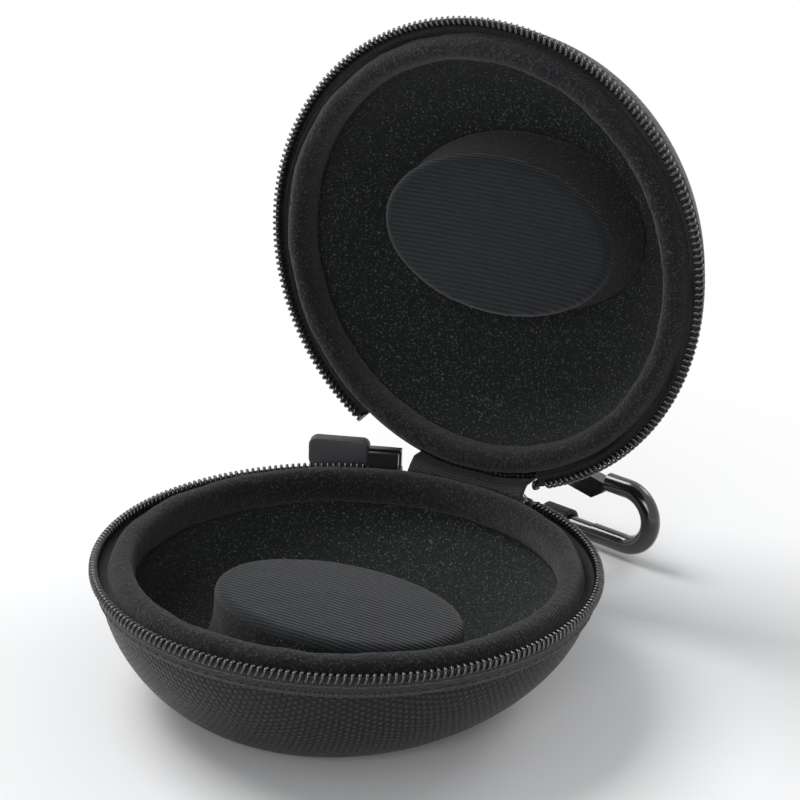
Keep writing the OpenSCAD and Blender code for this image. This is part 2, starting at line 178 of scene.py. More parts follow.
class CaseColours(bpy.types.PropertyGroup):
    """Colours of the case's finishes."""

    __annotations__ = rows_of(
        colour,
        skin=("Woven outer cloth", (0.017, 0.017, 0.0185)),
        # The dark gap colour darkens the cloth between its yarn beads: painted shade in the recesses.
        skin_gap=("The shade between the cloth's yarns", (0.0012, 0.0012, 0.0014)),
        lining=("Velvet lining", (0.0125, 0.0145, 0.0135)),
        # Lighter colour of scattered velvet fibres: painted glints of fibres that catch the light.
        lining_fleck=("Lighter fibres of the velvet", (0.13, 0.138, 0.13)),
        fleece=("Brushed fleece of the rim rolls", (0.0072, 0.0076, 0.0086)),
        # Lighter colour of scattered fleece fibres: painted glints of fibres that catch the light.
        fleece_fleck=("Lighter fibres of the fleece", (0.036, 0.038, 0.042)),
        knit=("Ribbed knit of the pads", (0.0095, 0.0108, 0.0138)),
        # Lighter colour of the knit's fibres and rib crests: painted glints and painted highlight on the
        # crests.
        knit_fleck=("Lighter crests of the knit", (0.027, 0.029, 0.036)),
        tape=("Zip tape", (0.016, 0.016, 0.018)),
        coil=("Nylon coil", (0.012, 0.012, 0.013)),
        thread=("Sewing thread", (0.07, 0.07, 0.074)),
        webbing=("Webbing and hinge cloth", (0.015, 0.015, 0.017)),
        metal=("Painted slider", (0.03, 0.031, 0.033)),
        bare_metal=("Worn metal of the slider's bridge", (0.55, 0.55, 0.56)),
        tab=("Moulded pull tab", (0.033, 0.034, 0.037)),
        clip=("Glossy carabiner", (0.009, 0.009, 0.010)),
        foam=("Moulded foam core", (0.03, 0.03, 0.033)),
        steel=("Pin and spring", (0.5, 0.5, 0.52)),
        floor=("Studio floor", (0.9, 0.9, 0.905)),
    )


GROUPS = {"case_sizes": CaseSizes, "case_zip": ZipSizes, "case_clip": ClipSizes, "case_colours": CaseColours}


# ---- meshes --------------------------------------------------------------------

def grid(rows, columns, around=True, close=False):
    """Four-sided faces between rows of points; around joins each row's ends, close joins last to first."""
    r = np.arange(rows if close else rows - 1)[:, None]
    c = np.arange(columns if around else columns - 1)[None, :]
    below, right = (r + 1) % rows, (c + 1) % columns
    faces = np.stack([r * columns + c, r * columns + right, below * columns + right, below * columns + c], -1)
    return faces.reshape(-1, 4)


def polar(radius, turn, height, shift=0):
    """Points at a radius and a turn about the ring's axis, and at a height; shift moves them to the front."""
    return np.stack(np.broadcast_arrays(radius * np.cos(turn), radius * np.sin(turn) - shift, height), -1)


def capped(rows, columns):
    """Faces of a run of closed rows, with a face over each end."""
    return [*grid(rows, columns), range(columns - 1, -1, -1), range((rows - 1) * columns, rows * columns)]

def fan(centre, first, columns, flip=False):
    """Triangles from one point to a row of points."""
    c = np.arange(columns)
    faces = np.stack([np.full(columns, centre), first + c, first + (c + 1) % columns], -1)
    return faces[:, ::-1] if flip else faces


def seat(points, half):
    """Moves points drawn about the zip plane of a base half to their place in the frame."""
    p = np.array(points, float).reshape(-1, 3)
    if half == "base":
        return p + [0, 0, HINGE.z]
    y, z = p[:, 1] - HINGE.y, -p[:, 2]
    c, s = math.cos(LID_OPEN), math.sin(LID_OPEN)
    return np.stack([p[:, 0], HINGE.y + y * c + z * s, HINGE.z - y * s + z * c], -1)


def make_piece(name, points, faces, body, material, replaced=(), cloth=None):
    """A mesh piece that rides on a body, with its finish; cloth is a flat place in metres for each point."""
    mesh = bpy.data.meshes.new(name)
    mesh.from_pydata([tuple(p) for p in points], [], [tuple(int(i) for i in f) for f in faces])
    if cloth is not None:
        corners = np.zeros(len(mesh.loops), np.int32)
        mesh.loops.foreach_get("vertex_index", corners)
        layer = mesh.uv_layers.new(name="cloth")
        layer.data.foreach_set("uv", np.asarray(cloth, np.float32)[corners].ravel())
    mesh.validate()
    mesh.update()
    mesh.shade_smooth()
    piece = bpy.data.objects.new(name, mesh)
    bpy.context.scene.collection.objects.link(piece)
    mesh.materials.append(material)
    if body:
        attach(piece, body)
    if replaced:
        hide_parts(*replaced)
    return piece


def half_piece(half, name, points, faces, material, replaced=(), cloth=None):
    """A piece of one half, drawn as for the base."""
    faces = [tuple(reversed(f)) for f in faces] if half == "lid" else faces
    return make_piece(f"{half}_{name}", seat(points, half), faces, half, material,
                      [f"{half}_{node}" for node in replaced], cloth)


def thicken(piece, thickness, offset=-1.0):
    """Gives a sheet its thickness."""
    solid = piece.modifiers.new("Thickness", "SOLIDIFY")
    solid.thickness = thickness
    solid.offset = offset
    solid.use_even_offset = True
    return piece


def tube(path, radii, sides):
    """Points and faces of a round tube along a path, with capped ends."""
    p = np.asarray(path, float)
    n = len(p)
    radii = np.broadcast_to(radii, (n,))
    ahead = np.roll(p, -1, 0) - np.roll(p, 1, 0)
    ahead[0], ahead[-1] = p[1] - p[0], p[-1] - p[-2]
    ahead /= np.linalg.norm(ahead, axis=1)[:, None]
    side = np.cross(ahead[0], [0, 0, 1.0])
    if np.linalg.norm(side) < 1e-3:
        side = np.cross(ahead[0], [1.0, 0, 0])
    turn = np.linspace(0, 2 * math.pi, sides, endpoint=False)
    rings = []
    for i in range(n):
        side = side - (side @ ahead[i]) * ahead[i]
        side /= np.linalg.norm(side)
        other = np.cross(ahead[i], side)
        rings.append(p[i] + radii[i] * (np.cos(turn)[:, None] * side + np.sin(turn)[:, None] * other))
    return np.concatenate(rings), capped(n, sides)


def smooth_path(knots, steps):
    """Points on a smooth curve through the knots."""
    k = np.asarray(knots, float)
    k = np.vstack([2 * k[0] - k[1], k, 2 * k[-1] - k[-2]])
    t = np.linspace(0, 1, steps, endpoint=False)[:, None]
    spans = []
    for a, b, c, d in zip(k[:-3], k[1:-2], k[2:-1], k[3:]):
        spans.append(0.5 * (2 * b + (c - a) * t + (2 * a - 5 * b + 4 * c - d) * t ** 2
                            + (3 * b - a - 3 * c + d) * t ** 3))
    return np.vstack(spans + [k[-2:-1]])


def together(parts):
    """Several point and face lists as one."""
    points, faces, start = [], [], 0
    for part_points, part_faces in parts:
        points.append(np.asarray(part_points, float))
        faces += [tuple(int(i) + start for i in f) for f in part_faces]
        start += len(part_points)
    return np.concatenate(points), faces


def ripple(points, wavelength, amount, seed):
    """A smooth uneven offset for each point, the same in every run."""
    draw = np.random.default_rng(seed)
    total = np.zeros(len(points))
    for octave in range(3):
        for _ in range(5):
            way = draw.normal(size=3)
            way *= 2 * math.pi * 2 ** octave / (wavelength * np.linalg.norm(way))
            total += np.sin(points @ way + draw.uniform(0, 2 * math.pi)) / (5 * 2 ** octave)
    return total * amount


# ---- finishes --------------------------------------------------------------------

def feed(tree, socket, value):
    """Links a socket, or sets its value."""
    if isinstance(value, bpy.types.NodeSocket):
        tree.links.new(value, socket)
    elif value is not None:
        socket.default_value = value


def calc(tree, operation, a, b=None, c=None, clamp=False):
    """A Math node's output."""
    node = tree.nodes.new("ShaderNodeMath")
    node.operation = operation
    node.use_clamp = clamp
    for socket, value in zip(node.inputs, (a, b, c)):
        feed(tree, socket, value)
    return node.outputs[0]


def mix(tree, factor, a, b):
    """A colour between two colours."""
    node = tree.nodes.new("ShaderNodeMix")
    node.data_type = "RGBA"
    feed(tree, node.inputs["Factor"], factor)
    feed(tree, node.inputs[6], (*a, 1) if isinstance(a, tuple) else a)
    feed(tree, node.inputs[7], (*b, 1) if isinstance(b, tuple) else b)
    return node.outputs[2]


def noise(tree, vector, scale, detail=2.0, roughness=0.5):
    """A noise texture's value."""
    node = tree.nodes.new("ShaderNodeTexNoise")
    for name, value in (("Vector", vector), ("Scale", scale), ("Detail", detail), ("Roughness", roughness)):
        feed(tree, node.inputs[name], value)
    return node.outputs["Fac"]


def step_up(tree, value, low, high):
    """0 up to low, 1 from high on, smooth between; with low above high it falls instead."""
    node = tree.nodes.new("ShaderNodeMapRange")
    node.interpolation_type = "SMOOTHSTEP"
    feed(tree, node.inputs["Value"], value)
    feed(tree, node.inputs["From Min"], low)
    feed(tree, node.inputs["From Max"], high)
    return node.outputs["Result"]


def new_group(name, outputs, **numbers):
    """A node group that takes a vector and numbers, with its input and output nodes' sockets."""
    tree = bpy.data.node_groups.new(name, "ShaderNodeTree")
    tree.interface.new_socket(name="Vector", in_out="INPUT", socket_type="NodeSocketVector")
    for socket, value in numbers.items():
        made = tree.interface.new_socket(name=socket, in_out="INPUT", socket_type="NodeSocketFloat")
        made.default_value = value
    for socket in outputs:
        tree.interface.new_socket(name=socket, in_out="OUTPUT", socket_type="NodeSocketFloat")
    return tree, tree.nodes.new("NodeGroupInput").outputs, tree.nodes.new("NodeGroupOutput").inputs


def weave_group():
    """Staggered yarn beads: their height, a mask for the painted shade in the gaps between them, and a random
    tone for each bead.
    """
    name = "Woven yarn"
    if name in bpy.data.node_groups:
        return bpy.data.node_groups[name]
    tree, given, wanted = new_group(
        name, ["Height", "Gap", "Shade"], Across=0.0016, Along=0.00125, Strands=3.0)
    split = tree.nodes.new("ShaderNodeSeparateXYZ")
    tree.links.new(given["Vector"], split.inputs[0])
    down = calc(tree, "DIVIDE", split.outputs["Y"], given["Along"])
    row = calc(tree, "FLOOR", down)
    stagger = calc(tree, "FRACT", calc(tree, "MULTIPLY", row, 0.5))
    over = calc(tree, "ADD", calc(tree, "DIVIDE", split.outputs["X"], given["Across"]), stagger)
    u = calc(tree, "SUBTRACT", calc(tree, "FRACT", over), 0.5)
    v = calc(tree, "SUBTRACT", calc(tree, "FRACT", down), 0.5)
    far = calc(tree, "ADD", calc(tree, "MULTIPLY", calc(tree, "POWER", calc(tree, "ABSOLUTE", u), 2.0), 4.6),
               calc(tree, "MULTIPLY", calc(tree, "POWER", calc(tree, "ABSOLUTE", v), 2.0), 4.2))
    bead = calc(tree, "SQRT", calc(tree, "SUBTRACT", 1.0, far, clamp=True))
    turn = calc(tree, "MULTIPLY", calc(tree, "MULTIPLY", v, given["Strands"]), 2 * math.pi)
    strand = calc(tree, "MULTIPLY", calc(tree, "COSINE", turn), bead)
    tree.links.new(calc(tree, "MULTIPLY_ADD", strand, 0.07, bead), wanted["Height"])
    # Gap mask: where the yarn's colour is darkened between the beads, a painted shade.
    tree.links.new(step_up(tree, bead, 0.84, 0.3), wanted["Gap"])
    cell = tree.nodes.new("ShaderNodeCombineXYZ")
    tree.links.new(calc(tree, "FLOOR", over), cell.inputs[0])
    tree.links.new(row, cell.inputs[1])
    chance = tree.nodes.new("ShaderNodeTexWhiteNoise")
    tree.links.new(cell.outputs[0], chance.inputs["Vector"])
    tree.links.new(chance.outputs["Value"], wanted["Shade"])
    return tree


def pile_group():
    """Short fibres: their height, and the few that catch the light, whose glints are painted in a lighter
    colour.
    """
    name = "Fibre pile"
    if name in bpy.data.node_groups:
        return bpy.data.node_groups[name]
    tree, given, wanted = new_group(name, ["Height", "Glint"], Fibre=0.0005, Lump=0.004, Sparse=0.58)
    fine = noise(tree, given["Vector"], calc(tree, "DIVIDE", 1.0, given["Fibre"]), 3.0, 0.65)
    coarse = noise(tree, given["Vector"], calc(tree, "DIVIDE", 1.0, given["Lump"]), 2.0)
    height = calc(tree, "MULTIPLY_ADD", coarse, 0.5, fine)
    tree.links.new(height, wanted["Height"])
    # Glint mask: the sparse fibres that are drawn in a lighter colour as painted glints; it also makes them a
    # little glossier.
    top = calc(tree, "ADD", given["Sparse"], 0.13)
    tree.links.new(step_up(tree, fine, given["Sparse"], top), wanted["Glint"])
    return tree


def handling_group():
    """Faint marks of use on a smooth surface: dull patches and a fine grain."""
    name = "Handling marks"
    if name in bpy.data.node_groups:
        return bpy.data.node_groups[name]
    tree, given, wanted = new_group(
        name, ["Roughness", "Height"], Patch=0.006, Grain=0.0003, Shine=0.2, Spread=0.15)
    patch = noise(tree, given["Vector"], calc(tree, "DIVIDE", 1.0, given["Patch"]), 3.0)
    grain = noise(tree, given["Vector"], calc(tree, "DIVIDE", 1.0, given["Grain"]), 1.0)
    tree.links.new(calc(tree, "MULTIPLY_ADD", patch, given["Spread"], given["Shine"]), wanted["Roughness"])
    tree.links.new(grain, wanted["Height"])
    return tree


def place_group(tree, group, **values):
    """A node group placed in a material with its own values."""
    node = tree.nodes.new("ShaderNodeGroup")
    node.node_tree = group
    for name, value in values.items():
        feed(tree, node.inputs[name], value)
    return node.outputs


def new_material(name, **plain):
    """A material with its Principled shader, and plain values set on the shader's own sockets."""
    material = bpy.data.materials.new(name)
    material.use_nodes = True
    tree = material.node_tree
    shader = tree.nodes["Principled BSDF"]
    for socket, value in plain.items():
        shader.inputs[socket.replace("_", " ")].default_value = value
    return material, tree, shader


def where(tree, flat=False):
    """Where a point lies: on the flat cloth, or in the piece."""
    if flat:
        node = tree.nodes.new("ShaderNodeUVMap")
        node.uv_map = "cloth"
        return node.outputs["UV"]
    return tree.nodes.new("ShaderNodeTexCoord").outputs["Object"]


def bump(tree, shader, height, distance):
    """Relief on the shader."""
    node = tree.nodes.new("ShaderNodeBump")
    node.inputs["Strength"].default_value = 1.0
    node.inputs["Distance"].default_value = distance
    feed(tree, node.inputs["Height"], height)
    tree.links.new(node.outputs["Normal"], shader.inputs["Normal"])


def colour_of(name):
    """A colour of the case as three numbers."""
    return tuple(getattr(bpy.context.scene.case_colours, name))


def woven_finish(key, name, across, along, relief, sheen=0.15, flat=False, roughness=0.72):
    """Woven cloth: beads of yarn across and along, with their relief."""
    yarn = colour_of(key)
    material, tree, shader = new_material(
        name, Sheen_Weight=sheen, Sheen_Roughness=0.5, Specular_IOR_Level=0.35)
    spot = where(tree, flat)
    out = place_group(tree, weave_group(), Vector=spot, Across=across * MM, Along=along * MM)
    light = tuple(min(1.0, 1.45 * c) for c in yarn)
    shade = mix(tree, out["Shade"], yarn, light)
    # Between the beads the yarn's colour is mixed towards the gap colour: painted shade in the recesses.
    tree.links.new(mix(tree, out["Gap"], shade, colour_of("skin_gap")), shader.inputs["Base Color"])
    fuzz = noise(tree, spot, 1 / (0.2 * MM), 2.0)
    rough = calc(tree, "MULTIPLY_ADD", fuzz, 0.18, roughness - 0.09)
    tree.links.new(rough, shader.inputs["Roughness"])
    bump(tree, shader, calc(tree, "MULTIPLY_ADD", fuzz, 0.12, out["Height"]), relief * MM)
    return material


def pile_finish(key, name, fibre, lump, relief, sheen, sparse, ribs=0.0):
    """Velvet, fleece or knit; ribs is the pitch of a knit's ribs, or nothing."""
    material, tree, shader = new_material(
        name, Sheen_Weight=sheen, Sheen_Roughness=0.55, Specular_IOR_Level=0.12)
    spot = where(tree)
    out = place_group(tree, pile_group(), Vector=spot, Fibre=fibre * MM, Lump=lump * MM, Sparse=sparse)
    height, light = out["Height"], out["Glint"]
    if ribs:
        split = tree.nodes.new("ShaderNodeSeparateXYZ")
        tree.links.new(spot, split.inputs[0])
        run = calc(tree, "ADD", split.outputs["Y"], split.outputs["Z"])
        waver = calc(tree, "MULTIPLY", noise(tree, spot, 1 / (3 * MM), 1.0), 0.6)
        wave = calc(tree, "SINE", calc(tree, "MULTIPLY_ADD", run, 2 * math.pi / (ribs * MM), waver))
        height = calc(tree, "MULTIPLY_ADD", wave, 0.45, height)
        # Rib crests are painted lighter and troughs darker: painted highlight and painted shade that follow
        # the ribs' relief.
        light = calc(tree, "ADD", light, calc(tree, "MULTIPLY", wave, 0.35))
        light = calc(tree, "MULTIPLY", light, 0.8, clamp=True)
    # Glinting fibres, and a knit's rib crests, take the lighter colour: painted glints and painted highlight.
    tree.links.new(mix(tree, light, colour_of(key), colour_of(f"{key}_fleck")), shader.inputs["Base Color"])
    tree.links.new(calc(tree, "MULTIPLY_ADD", out["Glint"], -0.15, 0.95), shader.inputs["Roughness"])
    bump(tree, shader, height, relief * MM)
    return material


def moulded_finish(key, name, shine, spread, relief, **plain):
    """Moulded plastic, painted metal or foam, with faint marks of use."""
    material, tree, shader = new_material(name, **plain)
    shader.inputs["Base Color"].default_value = (*colour_of(key), 1)
    out = place_group(tree, handling_group(), Vector=where(tree), Shine=shine, Spread=spread)
    tree.links.new(out["Roughness"], shader.inputs["Roughness"])
    bump(tree, shader, out["Height"], relief * MM)
    return material


# Each finish by its colour's name: its kind, its material's name, and the values that the kind takes.
# Lengths are in millimetres; sheen, sparseness, shine and spread are plain numbers.
FINISHES = {
    "skin": (woven_finish, "Ballistic cloth", (1.75, 1.4, 1.1),
             {"sheen": 0.0, "flat": True, "roughness": 0.37}),
    "tape": (woven_finish, "Zip tape", (0.55, 0.4, 0.08), {}),
    "webbing": (woven_finish, "Webbing", (0.9, 0.6, 0.16), {}),
    "thread": (woven_finish, "Thread", (0.3, 0.2, 0.05), {}),
    "lining": (pile_finish, "Velvet", (0.5, 5, 0.22, 0.12, 0.56), {}),
    "fleece": (pile_finish, "Fleece", (0.6, 3, 0.45, 0.16, 0.52), {}),
    "knit": (pile_finish, "Ribbed knit", (0.4, 4, 0.16, 0.25, 0.56), {"ribs": 1.15}),
    "coil": (moulded_finish, "Nylon coil", (0.14, 0.12, 0.01),
             {"Specular_IOR_Level": 0.7, "Coat_Weight": 0.35, "Coat_Roughness": 0.12}),
    "metal": (moulded_finish, "Painted metal", (0.24, 0.18, 0.01),
              {"Metallic": 0.6, "Coat_Weight": 0.3, "Coat_Roughness": 0.2}),
    "bare_metal": (moulded_finish, "Worn metal", (0.2, 0.18, 0.008), {"Metallic": 1.0}),
    "tab": (moulded_finish, "Moulded tab", (0.42, 0.2, 0.03), {"Specular_IOR_Level": 0.5}),
    "clip": (moulded_finish, "Glossy plastic", (0.1, 0.12, 0.012),
             {"Specular_IOR_Level": 0.6, "Coat_Weight": 0.6, "Coat_Roughness": 0.06}),
    "foam": (moulded_finish, "Foam", (0.75, 0.2, 0.12), {"Specular_IOR_Level": 0.2}),
    "steel": (moulded_finish, "Steel wire", (0.22, 0.12, 0.008), {"Metallic": 1.0}),
}


def finish(key):
    """The material of a finish, made when it is first asked for."""
    kind, name, values, plain = FINISHES[key]
    return bpy.data.materials.get(name) or kind(key, name, *values, **plain)


def dress_node(node, material):
    """Gives a CAD node that stays its finish."""
    piece = frame["nodes"][node]
    piece.data.materials.clear()
    piece.data.materials.append(material)


# ---- the moulded halves ---------------------------------------------------------

SIDES = 240
WALL_ROWS = 44
SOLE_ROWS = 8
CURVE = 1.85           # exponent of the rounded section: 2 is an ellipse
BACK_GAP = 0.3 * MM    # the flat backs stop this short of the hinge line
SOLE_SHRINK = 0.4      # how fast the sole's radius and the wall's reach shrink inwards
WALL_SHRINK = 0.6


def section(offset):
    """The sizes, and the sole's radius and the wall's reach and depth at an offset inside the cloth."""
    size = bpy.context.scene.case_sizes
    sole = size.sole_radius - SOLE_SHRINK * offset
    grow = size.skin_radius - size.sole_radius - WALL_SHRINK * offset
    return size, sole, grow, size.half_depth - offset - size.skin_edge


def wall(offset, start, rows):
    """Rings of a surface inside the cloth, from a turn down to the sole, and their places on flat cloth."""
    size, sole, grow, deep = section(offset)
    turns = np.linspace(start, math.pi / 2, rows)[:, None]
    a = np.linspace(0, 2 * math.pi, SIDES, endpoint=False)[None, :]
    k, w = np.abs(np.cos(turns)) ** (2 / CURVE), np.sin(turns) ** (2 / CURVE)
    k[-1] = 0
    radius = sole + grow * k
    y = np.minimum(-size.sole_shift * (1 - k) + radius * np.sin(a), HINGE.y - BACK_GAP - offset)
    z = -size.skin_edge - deep * w + 0 * a
    fall = np.hypot(np.diff(radius[:, 0]), np.diff(z[:, 0]))
    reach = sole + np.concatenate([[0], np.cumsum(fall[::-1])])[::-1]
    points = np.stack([radius * np.cos(a), y, z], -1).reshape(-1, 3)
    cloth = polar(reach[:, None], a, 0)[..., :2].reshape(-1, 2)
    return points, cloth, sole, z[-1, 0]


def bowl(offset, start, rows):
    """A whole bowl: its wall and its flat sole, with the flat place of its cloth."""
    shift = bpy.context.scene.case_sizes.sole_shift
    points, cloth, sole, floor = wall(offset, start, rows)
    a = np.linspace(0, 2 * math.pi, SIDES, endpoint=False)
    extra, flat = [], []
    for i in range(1, SOLE_ROWS):
        r = sole * (1 - i / SOLE_ROWS)
        extra.append(polar(r, a, floor, shift))
        flat.append(polar(r, a, 0)[:, :2])
    points = np.concatenate([points, *extra, [[0, -shift, floor]]])
    cloth = np.concatenate([cloth, *flat, [[0, 0]]])
    total = rows + SOLE_ROWS - 1
    faces = [*grid(total, SIDES)[:, ::-1], *fan(total * SIDES, (total - 1) * SIDES, SIDES, flip=True)]
    return points, faces, cloth


def start_turn(offset, depth):
    """The turn at which a wall reaches a depth under the zip plane."""
    size, _, _, deep = section(offset)
    return math.asin(max(0.0, (depth - size.skin_edge) / deep) ** (CURVE / 2))


class CASE_OT_skins(bpy.types.Operator):
    """Build the woven outer cloth of both halves, and give their cores their foam"""

    bl_idname = "case.skins"
    bl_label = "Outer cloth"

    def execute(self, context):
        size = context.scene.case_sizes
        points, faces, cloth = bowl(0, 0, WALL_ROWS)
        for half in HALVES:
            piece = half_piece(half, "cloth", points, faces, finish("skin"), ["shell"], cloth)
            thicken(piece, size.skin_thickness)
            dress_node(f"{half}_core", finish("foam"))
        return {"FINISHED"}


class CASE_OT_linings(bpy.types.Operator):
    """Build the velvet lining of both halves"""

    bl_idname = "case.linings"
    bl_label = "Velvet linings"

    def execute(self, context):
        size = context.scene.case_sizes
        offset = size.lining_offset + size.lining_thickness
        points, faces, cloth = bowl(offset, start_turn(offset, 7 * MM), WALL_ROWS)
        points[:, 2] += np.clip(ripple(points, 18 * MM, 0.12 * MM, 3), -0.1 * MM, 0.25 * MM)
        for half in HALVES:
            piece = half_piece(half, "velvet", points, faces, finish("lining"), ["lining"], cloth)
            thicken(piece, size.lining_thickness, 1.0)
        return {"FINISHED"}


class CASE_OT_rolls(bpy.types.Operator):
    """Build the padded fleece rolls round both rims"""

    bl_idname = "case.rolls"
    bl_label = "Rim rolls"

    def execute(self, context):
        size = context.scene.case_sizes
        around, across = 480, 44
        a = np.linspace(0, 2 * math.pi, around, endpoint=False)[:, None]
        b = np.linspace(0, 2 * math.pi, across, endpoint=False)[None, :]
        half_w, half_h = size.roll_width / 2, size.roll_height / 2
        squareness = 0.86
        wide = np.sign(np.cos(b)) * np.abs(np.cos(b)) ** squareness
        tall = np.sign(np.sin(b)) * np.abs(np.sin(b)) ** squareness
        foot = -size.roll_top - size.roll_height
        radius = size.roll_radius + half_w * wide + 0 * a
        z = foot + (half_h + half_h * tall) / size.roll_keep + 0 * a
        back = HINGE.y - 1.6 * MM
        points = np.stack([radius * np.cos(a), np.minimum(radius * np.sin(a), back), z], -1).reshape(-1, 3)
        swell = ripple(points, 14 * MM, 0.22 * MM, 11) + ripple(points, 2.2 * MM, 0.09 * MM, 12)
        middle = polar(size.roll_radius, a + 0 * b, foot + half_h / size.roll_keep).reshape(-1, 3)
        out = points - middle
        out /= np.linalg.norm(out, axis=1)[:, None]
        points = points + out * (swell - 0.12 * MM)[:, None]
        faces = grid(around, across, close=True)[:, ::-1]
        for half in HALVES:
            piece = half_piece(half, "roll", points, faces, finish("fleece"), ["rim_roll"])
            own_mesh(piece)
        return {"FINISHED"}


def floor_under(x, y, offset):
    """Height of the cavity's floor under points, from the same rings as the walls."""
    size, sole, grow, deep = section(offset)
    fy = y + size.sole_shift
    a = size.sole_shift ** 2 - grow ** 2
    b = -2 * (fy * size.sole_shift + sole * grow)
    c = x ** 2 + fy ** 2 - sole ** 2
    k = np.where(c <= 0, 0, (-b - np.sqrt(np.maximum(b * b - 4 * a * c, 0))) / (2 * a))
    w = np.sin(np.arccos(np.clip(k, 0, 1) ** (CURVE / 2))) ** (2 / CURVE)
    return -size.skin_edge - deep * w


class CASE_OT_pads(bpy.types.Operator):
    """Build the oval knit pads of both halves"""

    bl_idname = "case.pads"
    bl_label = "Oval pads"

    def execute(self, context):
        size = context.scene.case_sizes
        sides, top_rows, edge_rows, wall_rows = 160, 16, 10, 12
        a = np.linspace(0, 2 * math.pi, sides, endpoint=False)
        offset = size.lining_offset + size.lining_thickness
        edge, flare, crown = 2.6 * MM, 2.5 * MM, 0.9 * MM
        for half, drop in zip(HALVES, (size.base_pad_drop, size.lid_pad_drop)):
            rows = []

            def oval(grow, height):
                x = (size.pad_length / 2 + grow) * np.cos(a)
                y = (size.pad_width / 2 + grow) * np.sin(a) - size.pad_shift
                return np.stack([x, y, np.broadcast_to(height, a.shape)], -1)

            for i in range(1, top_rows):
                part = i / top_rows
                x = (size.pad_length / 2 - edge) * part * np.cos(a)
                y = (size.pad_width / 2 - edge) * part * np.sin(a) - size.pad_shift
                rows.append(np.stack([x, y, np.full(sides, -drop + crown * (0.4 - part ** 2))], -1))
            for i in range(edge_rows):
                turn = i / (edge_rows - 1) * math.pi / 2
                sink = -drop - 0.6 * crown - edge * (1 - math.cos(turn))
                rows.append(oval(-edge * (1 - math.sin(turn)), sink))
            foot = oval(flare, 0)
            foot[:, 2] = floor_under(foot[:, 0], foot[:, 1], offset) - 0.2 * MM
            last = rows[-1]
            for i in range(1, wall_rows + 1):
                part = i / wall_rows
                ring = last + (foot - last) * part
                ring[:, :2] += (foot - last)[:, :2] * (part ** 3 - part) * 0.8
                rows.append(ring)
            points = np.concatenate([*rows, [[0, -size.pad_shift, -drop + 0.4 * crown]]])
            total = len(rows)
            points[:, 2] += ripple(points, 16 * MM, 0.14 * MM, 21)
            foot_face = range(total * sides - 1, (total - 1) * sides - 1, -1)
            faces = [*grid(total, sides)[:, ::-1], *fan(total * sides, 0, sides), foot_face]
            piece = half_piece(half, "cushion", points, faces, finish("knit"), ["pad"])
            piece.data.materials.append(finish("lining"))
            wall_start = (top_rows - 1 + edge_rows - 2) * sides
            for face in piece.data.polygons[wall_start:(total - 1) * sides]:
                face.material_index = 1
        return {"FINISHED"}


# ---- the zip ----------------------------------------------------------------------

TAPE_LAP_GAP = 0.15 * MM    # between the cloth and what is sewn over it
ROW_MARGIN = math.radians(1.1)    # from a row's end to its first loop


def swept(profile, start, end, steps):
    """A profile of radius and height, swept between two angles about the ring's axis."""
    radius, height = np.array(profile).T
    turns = np.linspace(start, end, steps)[:, None]
    return polar(radius, turns, height).reshape(-1, 3), capped(steps, len(profile))


def row_ends(half):
    """The first and last angle of a half's row."""
    zip_size = bpy.context.scene.case_zip
    first = zip_size.row_end if half == "base" else zip_size.lid_row_end
    return math.pi / 2 + first, math.pi / 2 + 2 * math.pi - zip_size.row_end


def coil_path(half):
    """The path and radii of the coil's wire, loop after loop over the tape's edge."""
    size, zip_size = bpy.context.scene.case_sizes, bpy.context.scene.case_zip
    start, end = row_ends(half)
    start, end = start + ROW_MARGIN, end - ROW_MARGIN
    middle = size.ring_radius - zip_size.depth / 2
    step = zip_size.pitch / middle
    count = int((end - start) / step)
    leg = zip_size.depth / 2 - zip_size.wire
    top = -zip_size.row_gap / 2 - zip_size.wire
    foot = -zip_size.row_gap / 2 - zip_size.row_height + 1.15 * zip_size.wire
    shoulder = 0.62 * MM
    # Each knot: place along the loop in pitches, outwards, height, and width against the wire.
    knots = [(-0.14, leg, foot, 1), (0.10, leg, top - shoulder, 1.15),
             (0.21, 0.62 * leg, top - 0.1 * shoulder, 1.3), (0.30, 0.0, top, 1.42),
             (0.39, -0.62 * leg, top - 0.1 * shoulder, 1.3), (0.50, -leg, top - shoulder, 1.15),
             (0.60, -leg, foot, 1), (0.73, 0.0, foot, 0.8)]
    shift = 0.0 if half == "base" else 0.5
    path = []
    for i in range(count - 1, 0, -1):
        at = end - (i + 0.5 + shift) * step
        for along, out, height, wide in knots:
            path.append((at + (along - 0.3) * step, middle + out, height, wide))
    path = smooth_path(path, 3)
    t, r, z = path[:, 0], path[:, 1], path[:, 2]
    return polar(r, t, z), zip_size.wire * path[:, 3]


